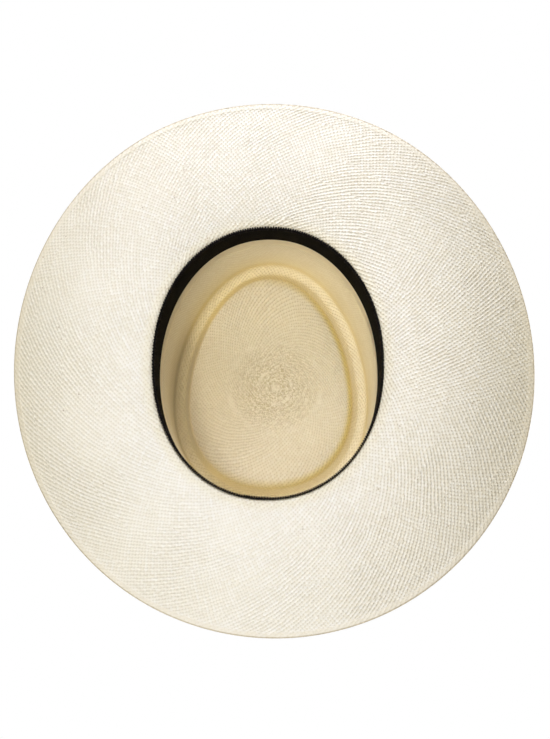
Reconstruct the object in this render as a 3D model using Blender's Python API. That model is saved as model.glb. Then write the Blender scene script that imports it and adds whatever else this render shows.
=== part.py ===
"""Panama hat with a telescope crown: woven straw, a sweatband inside, a ribbon band and bow outside.

Metres, +Z up, the way the hat is worn. The front is at -Y and the wearer's left is at +X.
The origin is on the surface that the brim rests on, under the middle of the brim.
"""

from math import asin, copysign, cos, pi, sin

import bmesh
import bpy

# ---- Driving dimensions ---------------------------------------------------------------------
STRAW = 0.0010  # thickness of the weave
SEGMENTS = 64  # points round the hat

BRIM_HALF_WIDTH = 0.1917  # the hand-cut brim is a near round oval
BRIM_HALF_LENGTH = 0.1960
BRIM_TURN = -pi / 10  # its long axis is turned a little from front to back
BRIM_FLAT_FROM = 0.70  # share of the brim's width where the front and back come down flat
FLAT_SECTOR = 0.42  # the flat sectors end where the cosine of the angle reaches this
SIDE_CURL = 0.016  # how far the brim's sides turn up
BRIM_RINGS = (0.10, 0.22, 0.38, 0.54, 0.70, 0.80, 0.90, 1.0)  # shares of the brim's width

HEAD_X = -0.0033  # the crown sits a little off the middle of the brim
HEAD_Y = -0.0036
HEAD_HALF_X = 0.0847  # inside of the straw at the head opening
HEAD_HALF_Y = 0.1003
HEAD_EGG = 0.010
BREAK_Z = 0.0090  # height of the brim where it meets the crown
BREAK_RADIUS = 0.0050
BREAK_STEPS = 3  # steps round the break's quarter turn

CROWN_HEIGHT = 0.113  # from the break to the inside of the crest
CREST_X = -0.0058  # the blocked top leans a little to the right and to the back
CREST_Y = -0.0004
CREST_HALF_X = 0.0714
CREST_HALF_Y = 0.0920
CREST_EGG = 0.148  # the crown narrows towards the front
TOP_EGG = 0.185  # the recessed top inside the groove narrows more
SHOULDER_WIDTH = 0.0051  # from the wall in to the crest
SHOULDER_DROP = 0.0080
SHOULDER_STEPS = 3
CREST_FLAT = 0.0015
GROOVE_WIDTH = 0.0080  # from the crest in to the recessed top
GROOVE_DEPTH = 0.0110
GROOVE_STEPS = 5
TOP_DOME = 0.0015
TOP_RINGS = (0.70, 0.36)  # shares of the recessed top's half width
SQUARENESS = 2.1  # exponent of the crown's ovals: 2 is an ellipse
WALL_RINGS = 5

GAP = 0.0003  # clearance between pieces that touch
SWEATBAND = 0.0006
SWEATBAND_HEIGHT = 0.030
SWEATBAND_RISE = 0.0015  # its lower edge, above the break
RIBBON = 0.0005
HATBAND_HEIGHT = 0.040
HATBAND_RISE = 0.0062  # its lower edge, above the break
LAP = 0.012  # overlap where a band's ends are sewn together
LAP_RAMP = 0.006  # length over which the top layer climbs on to the one below

BOW_HALF_LENGTH = 0.038
BOW_HEIGHT = 0.038
BOW_WAIST = 0.028  # height of the bow where the knot pinches it
BOW_FULL_FROM = 0.6  # share of a loop's length where the ribbon is back to its full height
BOW_TURN = 0.0014  # radius of the fold at the end of a loop
BACK_LAYER = (0.01, 0.33, 0.66, 1.0)  # shares of a loop's straight length, from the knot to the fold
FRONT_LAYER = (1.0, 0.66, 0.33, 0.12)  # and back again; its two ends lie under the knot
TAIL_START = -0.006  # along the crown's side, from the middle of the knot
TAIL_LENGTH = 0.052
TAIL_STEPS = 5
TAIL_HEIGHT = 0.034
TAIL_NOTCH = 0.009
KNOT_WIDTH = 0.013

THREAD = 0.00045  # thickness of a stitch
BAND_ZIGZAGS = 96
LAP_ZIGZAGS = 5
ZIGZAG_HEIGHT = 0.0026
SEAM_FROM_EDGE = 0.0010  # from the sweatband's lower edge up to its seam
LAP_SEAM_BELOW = 0.0030  # clear cloth below and above the seam in the lap
LAP_SEAM_ABOVE = 0.0015
CORNER_WIDTH = 1.4  # a zigzag's corners are this much wider than its thread
TACK_LENGTH = 0.0030
TACK_FROM_EDGE = 0.0018
KNOT_TACK = 0.4  # height of the knot's tacks, as a share of the bow's waist

# ---- Worked out from them -------------------------------------------------------------------
CREST_Z = BREAK_Z + CROWN_HEIGHT
WALL_LOW = BREAK_Z + BREAK_RADIUS
WALL_HIGH = CREST_Z - SHOULDER_DROP
BACK = pi / 2
LEFT = 0.0


def mix(start, end, share):
    return start + (end - start) * share


def oval(middle_x, middle_y, half_x, half_y, egg, angle):
    """A point on an oval that is wider at the back for a positive egg."""
    power = 2.0 / SQUARENESS
    across = copysign(abs(cos(angle)) ** power, cos(angle))
    along = copysign(abs(sin(angle)) ** power, sin(angle))
    return (middle_x + half_x * across * (1.0 + egg * along), middle_y + half_y * along)


def crest_oval(offset, egg, angle, share=1.0):
    """A point at an offset outside the crest's line, or at a share of that oval's size."""
    half_x = (CREST_HALF_X + offset) * share
    half_y = (CREST_HALF_Y + offset) * share
    return oval(CREST_X, CREST_Y, half_x, half_y, egg, angle)


def wall_point(angle, z, outset):
    """A point at height z, at an outset from the inside of the crown's wall."""
    share = (z - WALL_LOW) / (WALL_HIGH - WALL_LOW)
    half_x = mix(HEAD_HALF_X, CREST_HALF_X + SHOULDER_WIDTH, share) + outset
    half_y = mix(HEAD_HALF_Y, CREST_HALF_Y + SHOULDER_WIDTH, share) + outset
    egg = mix(HEAD_EGG, CREST_EGG, share)
    middle = (mix(HEAD_X, CREST_X, share), mix(HEAD_Y, CREST_Y, share))
    return (*oval(*middle, half_x, half_y, egg, angle), z)


def brim_edge(angle):
    """A point on the brim's edge, in the direction of the angle from the middle of the brim."""
    turned = angle - BRIM_TURN
    reach = ((cos(turned) / BRIM_HALF_WIDTH) ** 2 + (sin(turned) / BRIM_HALF_LENGTH) ** 2) ** -0.5
    return (reach * cos(angle), reach * sin(angle))


def brim_height(share, angle):
    """Height of the brim's underside: down from the break, flat front and back, up at the sides."""
    side = max(0.0, (abs(cos(angle)) - FLAT_SECTOR) / (1.0 - FLAT_SECTOR)) ** 1.5
    fall = max(0.0, 1.0 - share / BRIM_FLAT_FROM) ** 2
    return BREAK_Z * fall + SIDE_CURL * side * share**2


def angles(count, start=0.0, turn=2.0 * pi):
    return [start + turn * i / count for i in range(count)]


# ---- Mesh helpers ---------------------------------------------------------------------------
def make_object(name, mesh, material):
    mesh.normal_update()
    data = bpy.data.meshes.new(name)
    mesh.to_mesh(data)
    mesh.free()
    data.materials.append(material)
    data.shade_smooth()
    data.set_sharp_from_angle(angle=pi / 5)
    piece = bpy.data.objects.new(name, data)
    bpy.context.scene.collection.objects.link(piece)
    piece.parent = bpy.data.objects["hat"]
    return piece


def bridge(mesh, lower, upper, closed):
    """Quads between two rows of vertices."""
    last = len(lower) if closed else len(lower) - 1
    for i in range(last):
        j = (i + 1) % len(lower)
        mesh.faces.new((lower[i], lower[j], upper[j], upper[i]))


def skin(mesh, sections, closed):
    """A solid through sections, which are closed outlines with the same number of points."""
    rows = [[mesh.verts.new(point) for point in section] for section in sections]
    for lower, upper in zip(rows, rows[1:]):
        bridge(mesh, lower, upper, closed=True)
    if closed:
        bridge(mesh, rows[-1], rows[0], closed=True)
    else:
        mesh.faces.new(rows[0])
        mesh.faces.new(list(reversed(rows[-1])))


def finished(mesh):
    bmesh.ops.recalc_face_normals(mesh, faces=mesh.faces)
    return mesh


def add_stitch(mesh, centre, along, across, out, length):
    """One thread stitch: a slim spindle that lies along a surface."""
    def place(a, b, c):
        return [centre[k] + along[k] * a + across[k] * b + out[k] * c for k in range(3)]

    half = THREAD / 2
    tips = [mesh.verts.new(place(end * length / 2, 0, 0)) for end in (-1, 1)]
    rings = []
    for end in (-1, 1):
        corners = ((half, 0), (0, half), (-half, 0), (0, -half))
        rings.append([mesh.verts.new(place(end * length / 4, b, c)) for b, c in corners])
    bridge(mesh, rings[0], rings[1], closed=True)
    for tip, ring in zip(tips, rings):
        for i in range(4):
            mesh.faces.new((tip, ring[i], ring[(i + 1) % 4]))


def unit(vector):
    size = sum(v * v for v in vector) ** 0.5
    return [v / size for v in vector]


def wall_frame(angle, z, outset):
    """A point by the wall, with directions round the hat, up the wall and out of it."""
    step = 0.001
    here = wall_point(angle, z, outset)
    beside = wall_point(angle + step, z, outset)
    above = wall_point(angle, z + step, outset)
    around = unit([beside[k] - here[k] for k in range(3)])
    up = unit([above[k] - here[k] for k in range(3)])
    out = [around[1] * up[2] - around[2] * up[1],
           around[2] * up[0] - around[0] * up[2],
           around[0] * up[1] - around[1] * up[0]]
    return here, around, up, out


# ---- Straw ----------------------------------------------------------------------------------
def crown_rings():
    """Rings of the crown's inside, from the brim up the wall, over the crest and in to the middle."""
    turn = angles(SEGMENTS)
    rings = []
    for step in range(BREAK_STEPS + 1):  # the break curves from the brim up into the wall
        bend = step / BREAK_STEPS * pi / 2
        outset = BREAK_RADIUS * (1 - sin(bend))
        z = BREAK_Z + BREAK_RADIUS * (1 - cos(bend))
        rings.append([(*wall_point(a, WALL_LOW, outset)[:2], z) for a in turn])
    for step in range(1, WALL_RINGS):
        z = WALL_LOW + (WALL_HIGH - WALL_LOW) * step / WALL_RINGS
        rings.append([wall_point(a, z, 0.0) for a in turn])
    for step in range(SHOULDER_STEPS + 1):  # the shoulder, up to the crest
        bend = step / SHOULDER_STEPS * pi / 2
        z = CREST_Z - SHOULDER_DROP * (1 - sin(bend))
        rings.append([(*crest_oval(SHOULDER_WIDTH * cos(bend), CREST_EGG, a), z) for a in turn])
    for step in range(GROOVE_STEPS + 1):  # the groove's inner side, down to the recessed top
        share = step / GROOVE_STEPS
        inset = CREST_FLAT + GROOVE_WIDTH * share
        egg = mix(CREST_EGG, TOP_EGG, share)
        z = CREST_Z - GROOVE_DEPTH * (1 - cos(pi * share)) / 2
        rings.append([(*crest_oval(-inset, egg, a), z) for a in turn])
    for share in TOP_RINGS:
        z = CREST_Z - GROOVE_DEPTH + TOP_DOME * (1 - share**2)
        inset = CREST_FLAT + GROOVE_WIDTH
        rings.append([(*crest_oval(-inset, TOP_EGG * share, a, share), z) for a in turn])
    return rings


def brim_ring(share, first_ring):
    """A ring of the brim's underside, at a share of the way from the break to the edge."""
    ring = []
    for angle, start in zip(angles(SEGMENTS), first_ring):
        edge = brim_edge(angle)
        x = mix(start[0], edge[0], share)
        y = mix(start[1], edge[1], share)
        ring.append((x, y, brim_height(share, angle)))
    return ring


def make_straw_body(material):
    mesh = bmesh.new()
    crown = crown_rings()
    brim = [brim_ring(share, crown[0]) for share in reversed(BRIM_RINGS)]
    rows = [[mesh.verts.new(point) for point in ring] for ring in brim + crown]
    for outer, inner in zip(rows, rows[1:]):
        bridge(mesh, outer, inner, closed=True)
    middle = mesh.verts.new((CREST_X, CREST_Y, CREST_Z - GROOVE_DEPTH + TOP_DOME))
    for i, vertex in enumerate(rows[-1]):
        mesh.faces.new((vertex, rows[-1][(i + 1) % SEGMENTS], middle))
    straw = make_object("straw_body", mesh, material)
    shell = straw.modifiers.new("thickness", "SOLIDIFY")
    shell.thickness = STRAW
    shell.offset = 1.0


# ---- Bands ----------------------------------------------------------------------------------
def band_sections(z_low, height, outset, thickness, seam, lap_step):
    """Sections of a band that laps over its own start, climbing by lap_step."""
    radius = (HEAD_HALF_X + HEAD_HALF_Y) / 2
    lap = LAP / radius
    ramp = LAP_RAMP / radius
    turn = angles(SEGMENTS, seam, 2 * pi) + [seam + 2 * pi + ramp, seam + 2 * pi + ramp + lap]
    sections = []
    for angle in turn:
        climb = min(1.0, max(0.0, (angle - seam - 2 * pi + ramp) / ramp))
        near = outset + lap_step * climb
        corners = ((z_low, near), (z_low + height, near),
                   (z_low + height, near + thickness), (z_low, near + thickness))
        sections.append([wall_point(angle, z, out) for z, out in corners])
    return sections


def make_sweatband(material):
    mesh = bmesh.new()
    outset = -GAP - SWEATBAND
    sections = band_sections(BREAK_Z + SWEATBAND_RISE, SWEATBAND_HEIGHT, outset, SWEATBAND,
                             BACK, -SWEATBAND - GAP)
    skin(mesh, sections, closed=False)
    make_object("sweatband", finished(mesh), material)


def make_hatband(material):
    mesh = bmesh.new()
    sections = band_sections(BREAK_Z + HATBAND_RISE, HATBAND_HEIGHT, STRAW + GAP, RIBBON,
                             LEFT, RIBBON + GAP)
    skin(mesh, sections, closed=False)
    make_object("hatband", finished(mesh), material)


# ---- Bow ------------------------------------------------------------------------------------
BOW_Z = BREAK_Z + HATBAND_RISE + HATBAND_HEIGHT / 2
KNOT_OUTSET = STRAW + 3 * GAP + 2 * RIBBON  # above both layers of the hatband's lap
TAIL_OUTSET = KNOT_OUTSET + RIBBON + GAP
LOOP_OUTSET = TAIL_OUTSET + RIBBON + GAP


def side_angle(distance):
    """Angle of the point at a distance towards the back along the crown's left side."""
    along = abs(distance) / HEAD_HALF_Y
    return copysign(asin(along ** (SQUARENESS / 2)), distance)


def ribbon_section(distance, low, high, outset, turned=(0.0, 1.0)):
    """Section across a ribbon on the crown's side; turned gives its thickness direction."""
    along, out = turned
    half = RIBBON / 2
    section = []
    for z, side in ((low, -1), (high, -1), (high, 1), (low, 1)):
        angle = side_angle(distance + along * half * side)
        section.append(wall_point(angle, z, outset + out * half * side))
    return section


def make_bow_loops(material):
    """One ribbon folded flat: from behind the knot out, round and back on both sides."""
    mesh = bmesh.new()
    near = LOOP_OUTSET + RIBBON / 2
    far = near + 2 * BOW_TURN
    straight = BOW_HALF_LENGTH - BOW_TURN
    path = []  # distance along the side, outset, thickness direction
    for share in BACK_LAYER:
        path.append((straight * share, near, (0.0, -1.0)))
    for step in (1, 2, 3):
        bend = pi * step / 4
        path.append((straight + BOW_TURN * sin(bend), near + BOW_TURN * (1 - cos(bend)),
                     (sin(bend), -cos(bend))))
    for share in FRONT_LAYER:
        path.append((straight * share, far, (0.0, 1.0)))
    mirrored = []
    for distance, outset, turned in reversed(path):
        mirrored.append((-distance, outset, (-turned[0], turned[1])))
    sections = []
    for distance, outset, turned in path + mirrored:
        height = mix(BOW_WAIST, BOW_HEIGHT, min(1.0, abs(distance) / (BOW_FULL_FROM * straight)))
        low = BOW_Z - height / 2
        sections.append(ribbon_section(distance, low, low + height, outset, turned))
    skin(mesh, sections, closed=False)
    make_object("bow_loops", finished(mesh), material)


def make_bow_tail(material):
    """The tail runs back from the knot and ends in a swallowtail."""
    mesh = bmesh.new()
    outset = TAIL_OUTSET + RIBBON / 2
    half = RIBBON / 2
    top = BOW_Z + TAIL_HEIGHT / 2
    low = BOW_Z - TAIL_HEIGHT / 2
    whole = TAIL_LENGTH - TAIL_NOTCH
    stations = [mix(TAIL_START, whole, step / TAIL_STEPS) for step in range(TAIL_STEPS + 1)]
    sections = []
    for distance in stations + [TAIL_LENGTH]:
        tip = whole if distance == TAIL_LENGTH else distance
        columns = ((low, distance), (BOW_Z, tip), (top, distance))
        front = [wall_point(side_angle(d), z, outset + half) for z, d in columns]
        rear = [wall_point(side_angle(d), z, outset - half) for z, d in reversed(columns)]
        sections.append(front + rear)
    rows = [[mesh.verts.new(point) for point in section] for section in sections]
    for lower, upper in zip(rows, rows[1:-1]):
        bridge(mesh, lower, upper, closed=True)
    # the last stretch is two points of cloth, below and above the notch
    start, end = rows[-2], rows[-1]
    for vertex in (end[1], end[4]):
        mesh.verts.remove(vertex)
    for a, b, c, d in ((0, 1, 4, 5), (1, 2, 3, 4)):
        outer_front, inner_front = (a, b) if a == 0 else (b, a)
        outer_rear, inner_rear = (d, c) if a == 0 else (c, d)
        tip_front, tip_rear = end[outer_front], end[outer_rear]
        mesh.faces.new((start[outer_front], start[inner_front], tip_front))
        mesh.faces.new((start[outer_rear], start[inner_rear], tip_rear))
        mesh.faces.new((start[outer_front], start[outer_rear], tip_rear, tip_front))
        mesh.faces.new((start[inner_front], start[inner_rear], tip_rear, tip_front))
    mesh.faces.new(rows[0])
    make_object("bow_tail", finished(mesh), material)


def make_bow_knot(material):
    """A band round the middle of the bow, in front of it and behind it."""
    mesh = bmesh.new()
    back = KNOT_OUTSET
    front = LOOP_OUTSET + 2 * BOW_TURN + RIBBON + GAP
    reach = max(BOW_WAIST, TAIL_HEIGHT) / 2 + GAP
    corners_inside = ((-reach, back + RIBBON), (reach, back + RIBBON), (reach, front), (-reach, front))
    corners_outside = ((-reach - RIBBON, back), (reach + RIBBON, back),
                       (reach + RIBBON, front + RIBBON), (-reach - RIBBON, front + RIBBON))
    stations = [KNOT_WIDTH * share for share in (-0.5, 0.0, 0.5)]
    loops = []
    for corners in (corners_outside, corners_inside):
        loops.append([[mesh.verts.new(wall_point(side_angle(d), BOW_Z + z, out)) for z, out in corners]
                      for d in stations])
    outside, inside = loops
    for rows in loops:
        for lower, upper in zip(rows, rows[1:]):
            bridge(mesh, lower, upper, closed=True)
    for end in (0, -1):
        bridge(mesh, outside[end], inside[end], closed=True)
    make_object("bow_knot", finished(mesh), material)


# ---- Thread ---------------------------------------------------------------------------------
def add_zigzag(mesh, points, closed):
    """A thread that zigzags along a surface; points are its corners with their surface directions."""
    half = THREAD / 2
    wide = half * CORNER_WIDTH
    sections = []
    for centre, side, out in points:
        corners = ((wide, 0), (0, half), (-wide, 0), (0, -half))
        sections.append([[centre[k] + side[k] * a + out[k] * b for k in range(3)] for a, b in corners])
    skin(mesh, sections, closed)


def make_sweatband_stitches(material):
    """A zigzag seam that holds the sweatband's lower edge to the straw."""
    mesh = bmesh.new()
    low = BREAK_Z + SWEATBAND_RISE + SEAM_FROM_EDGE
    surface = -GAP - SWEATBAND
    points = []
    for i, angle in enumerate(angles(2 * BAND_ZIGZAGS, BACK)):
        travel = min(angle - BACK, BACK + 2 * pi - angle) * HEAD_HALF_X
        layer = SWEATBAND + GAP if travel < LAP + 2 * LAP_RAMP else 0.0
        z = low + (ZIGZAG_HEIGHT if i % 2 else 0.0)
        centre, _, up, out = wall_frame(angle, z, surface - layer - GAP - THREAD / 2)
        points.append((centre, up, out))
    add_zigzag(mesh, points, closed=True)
    make_object("sweatband_stitches", finished(mesh), material)


def make_sweatband_lap_stitches(material):
    """A zigzag seam up the sweatband's lap at the back."""
    mesh = bmesh.new()
    outset = -2 * (GAP + SWEATBAND) - GAP - THREAD / 2
    middle = BACK + (LAP_RAMP + LAP * 0.5) / HEAD_HALF_X
    low = BREAK_Z + SWEATBAND_RISE + ZIGZAG_HEIGHT + LAP_SEAM_BELOW
    rise = SWEATBAND_HEIGHT - ZIGZAG_HEIGHT - LAP_SEAM_BELOW - LAP_SEAM_ABOVE
    points = []
    for i in range(2 * LAP_ZIGZAGS + 1):
        angle = middle + (0.5 - i % 2) * ZIGZAG_HEIGHT / HEAD_HALF_X
        centre, around, _, out = wall_frame(angle, low + rise * i / (2 * LAP_ZIGZAGS), outset)
        points.append((centre, around, out))
    add_zigzag(mesh, points, closed=False)
    make_object("sweatband_lap_stitches", finished(mesh), material)


def make_tack(name, angle, z, outset, upright, material):
    """One short stitch on the face of a ribbon."""
    mesh = bmesh.new()
    centre, around, up, out = wall_frame(angle, z, outset)
    if upright:
        add_stitch(mesh, centre, up, around, out, TACK_LENGTH)
    else:
        add_stitch(mesh, centre, around, up, out, TACK_LENGTH)
    make_object(name, finished(mesh), material)


def make_tacks(material):
    """Tacks that hold the hatband to the straw, and the knot of the bow to the hatband."""
    outset = STRAW + 2 * GAP + RIBBON + THREAD / 2
    top = BREAK_Z + HATBAND_RISE + HATBAND_HEIGHT - TACK_FROM_EDGE
    for name, angle in (("front", -BACK), ("back", BACK), ("right", pi)):
        make_tack("hatband_tack_" + name, angle, top, outset, False, material)
    outset = LOOP_OUTSET + 2 * BOW_TURN + 2 * RIBBON + 2 * GAP + THREAD / 2
    for name, place in (("upper", 1), ("lower", -1)):
        make_tack("bow_tack_" + name, LEFT, BOW_Z + place * KNOT_TACK * BOW_WAIST, outset, True, material)


# ---- Materials ------------------------------------------------------------------------------
def make_material(name, colour, roughness):
    material = bpy.data.materials.new(name)
    material.use_nodes = True
    shader = material.node_tree.nodes["Principled BSDF"]
    shader.inputs["Base Color"].default_value = (*colour, 1.0)
    shader.inputs["Roughness"].default_value = roughness
    shader.inputs["Metallic"].default_value = 0.0
    return material


def main():
    for piece in list(bpy.data.objects):
        bpy.data.objects.remove(piece, do_unlink=True)
    hat = bpy.data.objects.new("hat", None)
    bpy.context.scene.collection.objects.link(hat)
    straw = make_material("straw", (0.86, 0.80, 0.66), 0.62)
    band_cloth = make_material("sweatband_cloth", (0.012, 0.010, 0.009), 0.85)
    ribbon = make_material("ribbon", (0.010, 0.009, 0.010), 0.70)
    thread = make_material("thread", (0.016, 0.014, 0.013), 0.75)
    make_straw_body(straw)
    make_sweatband(band_cloth)
    make_sweatband_stitches(thread)
    make_sweatband_lap_stitches(thread)
    make_hatband(ribbon)
    make_bow_loops(ribbon)
    make_bow_tail(ribbon)
    make_bow_knot(ribbon)
    make_tacks(thread)


main()
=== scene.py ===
"""Looks of a panama hat: fine woven straw, black ribbon band and bow, black sweatband and stitches.

Metres, +Z up as worn, front at -Y, wearer's left at +X. The camera looks up into the crown, so the
floor under the hat is seen from above only: from below it lets the view and the light through.
"""

from math import cos, pi, radians, sin, tan

import bmesh
import bpy
import numpy as np
from mathutils import Matrix, Vector


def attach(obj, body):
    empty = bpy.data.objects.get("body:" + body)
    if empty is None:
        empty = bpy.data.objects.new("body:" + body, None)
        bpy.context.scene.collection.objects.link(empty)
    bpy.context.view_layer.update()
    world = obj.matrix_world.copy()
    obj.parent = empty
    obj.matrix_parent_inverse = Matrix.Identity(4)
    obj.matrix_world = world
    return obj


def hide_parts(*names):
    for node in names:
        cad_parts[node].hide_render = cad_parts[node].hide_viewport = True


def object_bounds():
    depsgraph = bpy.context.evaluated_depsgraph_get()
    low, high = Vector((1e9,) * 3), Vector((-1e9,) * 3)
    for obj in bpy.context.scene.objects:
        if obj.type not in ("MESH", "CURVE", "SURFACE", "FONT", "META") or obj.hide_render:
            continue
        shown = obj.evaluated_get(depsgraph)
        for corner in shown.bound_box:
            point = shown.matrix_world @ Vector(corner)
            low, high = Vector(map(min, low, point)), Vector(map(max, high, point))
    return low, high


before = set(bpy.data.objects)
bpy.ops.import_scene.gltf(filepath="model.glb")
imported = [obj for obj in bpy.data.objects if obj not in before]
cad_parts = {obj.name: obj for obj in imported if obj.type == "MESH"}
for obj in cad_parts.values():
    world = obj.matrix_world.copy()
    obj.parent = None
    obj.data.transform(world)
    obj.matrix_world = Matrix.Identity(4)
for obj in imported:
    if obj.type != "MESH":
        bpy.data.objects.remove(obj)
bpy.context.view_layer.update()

# ---- The hat's dimensions, as the CAD has them ----
STRAW = 0.0010
BRIM_HALF_WIDTH = 0.1917
BRIM_HALF_LENGTH = 0.1960
BRIM_TURN = -pi / 10
BRIM_FLAT_FROM = 0.70
FLAT_SECTOR = 0.42
SIDE_CURL = 0.016
SIDE_CURL_POWER = 1.5
HEAD_X = -0.0033
HEAD_Y = -0.0036
HEAD_HALF_X = 0.0847
HEAD_HALF_Y = 0.1003
HEAD_EGG = 0.010
BREAK_Z = 0.0090
BREAK_RADIUS = 0.0050
CROWN_HEIGHT = 0.113
CREST_X = -0.0058
CREST_Y = -0.0004
CREST_HALF_X = 0.0714
CREST_HALF_Y = 0.0920
CREST_EGG = 0.148
TOP_EGG = 0.185
SHOULDER_WIDTH = 0.0051
SHOULDER_DROP = 0.0080
CREST_FLAT = 0.0015
GROOVE_WIDTH = 0.0080
GROOVE_DEPTH = 0.0110
TOP_DOME = 0.0015
SQUARENESS = 2.1
GAP = 0.0003
SWEATBAND_HEIGHT = 0.030
SWEATBAND_RISE = 0.0015
RIBBON = 0.0005
HATBAND_HEIGHT = 0.040
HATBAND_RISE = 0.0062
LAP = 0.012
LAP_RAMP = 0.006
BOW_HALF_LENGTH = 0.038
BOW_HEIGHT = 0.038
BOW_WAIST = 0.028
BOW_TURN = 0.0014
TAIL_START = -0.006
TAIL_LENGTH = 0.052
TAIL_HEIGHT = 0.034
TAIL_NOTCH = 0.009
KNOT_WIDTH = 0.013
THREAD = 0.00045
TACK_LENGTH = 0.0030
TACK_FROM_EDGE = 0.0018
BACK = pi / 2
LEFT = 0.0
CREST_Z = BREAK_Z + CROWN_HEIGHT
WALL_LOW = BREAK_Z + BREAK_RADIUS
WALL_HIGH = CREST_Z - SHOULDER_DROP
BOW_Z = BREAK_Z + HATBAND_RISE + HATBAND_HEIGHT / 2
KNOT_OUTSET = STRAW + 3 * GAP + 2 * RIBBON
TAIL_OUTSET = KNOT_OUTSET + RIBBON + GAP
LOOP_OUTSET = TAIL_OUTSET + RIBBON + GAP

# ---- Fine mesh ----
STRAW_SEGMENTS = 360
BRIM_RINGS = 34
BREAK_RINGS = 5
WALL_RINGS = 30
SHOULDER_RINGS = 7
GROOVE_RINGS = 10
TOP_RINGS = 36
EDGE_ARC = 4  # points round the brim's edge, between its two faces
HEM_FROM = 0.953  # share of the brim's width where its woven edge starts
HEM_STEP = 0.006
HEM_RINGS = 7
HEM_RELIEF = 0.00022
RING_CROWDING = 0.8  # under 1 sets the top's rings closer together by its middle
ON_TOP_WITHIN = 0.001
ROSETTE = (-0.0025, 0.0035, CREST_Z - GROOVE_DEPTH)  # the middle, where the weaving starts
ROSETTE_RINGS = ((0.0030, 0.0014, 0.00030), (0.0095, 0.0014, 0.00030), (0.0150, 0.0012, 0.00012),
                 (0.0220, 0.0016, 0.00018))  # radius, width and height of the first rounds of weaving
MIDDLE_RADIUS = 0.0012

# ---- Shades: values stored on the straw's points ----
# "edge" is 1 on the hem and this on the brim's rim.
EDGE_SHADE = 2.0
# "crease" is painted shade in the folds, 1 where the straw is folded most. It differs between the
# crest's dark and light side.
BREAK_CREASE = 0.16
BREAK_CREASE_WIDTH = 0.05
WALL_CREASES = ((0.62, 0.96), (0.90, 1.0))  # two steps up the wall, as shares of its height
SHOULDER_CREASE = 0.75
SHOULDER_BENDS = (0.2, 0.9)
CREST_CREASE = 0.06
DARK_CREST_CREASE = 0.45
FOLD = (0.50, 0.80)  # shares of the groove's width
DARK_FOLD_START = (0.0, 0.35)
DARK_FOLD_END = (0.60, 0.90)
LIGHT_SIDE = radians(10.0)  # towards here the crest is paler and the fold inside it is darker
# "side" is painted shade that grows towards the brim's left and right edge, where the brim turns away
# from the light.
SIDE_SHADE_POWER = 1.2
SIDE_SHADE_ABOVE = 0.5  # this share of it is left on the outer face

# ---- Weave ----
STRAND = 0.00237  # from strand to strand on the brim and the wall
TOP_STRAND = 0.00190  # and near the middle of the top
TOP_STRAND_WITHIN = 0.025
STRAND_FULL_FROM = 0.075
STEEP_LEAN = radians(57.0)  # lean of the two strand families from the line out of the middle
SHALLOW_LEAN = radians(-28.5)
ADD_STRANDS_AT = 1.14  # a round of new strands each time the radius has grown this much


def mix(start, end, share):
    return start + (end - start) * share


def smooth(share):
    share = np.clip(share, 0.0, 1.0)
    return share * share * (3.0 - 2.0 * share)


def rise(share, start, end):
    """From 0 at the start to 1 at the end, without corners."""
    return float(smooth((share - start) / (end - start)))


def signed_power(value, power):
    return np.sign(value) * np.abs(value) ** power


# ---- Shape of the hat, as in the CAD ----
def oval(middle_x, middle_y, half_x, half_y, egg, angle):
    power = 2.0 / SQUARENESS
    across = signed_power(np.cos(angle), power)
    along = signed_power(np.sin(angle), power)
    return middle_x + half_x * across * (1.0 + egg * along), middle_y + half_y * along


def ring(x, y, z):
    return np.stack(np.broadcast_arrays(x, y, z), axis=-1).astype(float)


def wall_point(angle, z, outset):
    """Points at heights z and outsets from the inside of the crown's wall."""
    share = (z - WALL_LOW) / (WALL_HIGH - WALL_LOW)
    low = (HEAD_X, HEAD_Y, HEAD_HALF_X, HEAD_HALF_Y, HEAD_EGG)
    high = (CREST_X, CREST_Y, CREST_HALF_X + SHOULDER_WIDTH, CREST_HALF_Y + SHOULDER_WIDTH, CREST_EGG)
    x, y, half_x, half_y, egg = [mix(start, end, share) for start, end in zip(low, high)]
    x, y = oval(x, y, half_x + outset, half_y + outset, egg, angle)
    return ring(x, y, z)


def crest_ring(offset, egg, z, angle):
    x, y = oval(CREST_X, CREST_Y, CREST_HALF_X + offset, CREST_HALF_Y + offset, egg, angle)
    return ring(x, y, z)


def break_ring(bend, angle):
    """The curve between brim and wall: bend is 0 at the brim and a right angle at the wall."""
    outset = BREAK_RADIUS * (1.0 - sin(bend))
    points = wall_point(angle, WALL_LOW, outset)
    points[..., 2] = BREAK_Z + BREAK_RADIUS * (1.0 - cos(bend))
    return points


def brim_ring(share, angle):
    turned = angle - BRIM_TURN
    reach = ((np.cos(turned) / BRIM_HALF_WIDTH) ** 2 + (np.sin(turned) / BRIM_HALF_LENGTH) ** 2) ** -0.5
    start = break_ring(0.0, angle)
    side = np.maximum(0.0, (np.abs(np.cos(angle)) - FLAT_SECTOR) / (1.0 - FLAT_SECTOR))
    fall = max(0.0, 1.0 - share / BRIM_FLAT_FROM) ** 2
    z = BREAK_Z * fall + SIDE_CURL * side**SIDE_CURL_POWER * share**2
    return ring(mix(start[:, 0], reach * np.cos(angle), share),
                mix(start[:, 1], reach * np.sin(angle), share), z)


def top_ring(share, angle):
    """The recessed top: its outline at share 1, and nearly round rings by its middle."""
    inset = CREST_FLAT + GROOVE_WIDTH
    half_x = CREST_HALF_X - inset
    half_y = CREST_HALF_Y - inset
    mean = (half_x + half_y) / 2
    middle_x = mix(ROSETTE[0], CREST_X, share)
    middle_y = mix(ROSETTE[1], CREST_Y, share)
    x, y = oval(middle_x, middle_y, share * mix(mean, half_x, share), share * mix(mean, half_y, share),
                TOP_EGG * share, angle)
    return ring(x, y, CREST_Z - GROOVE_DEPTH + TOP_DOME * (1.0 - share**2))


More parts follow.
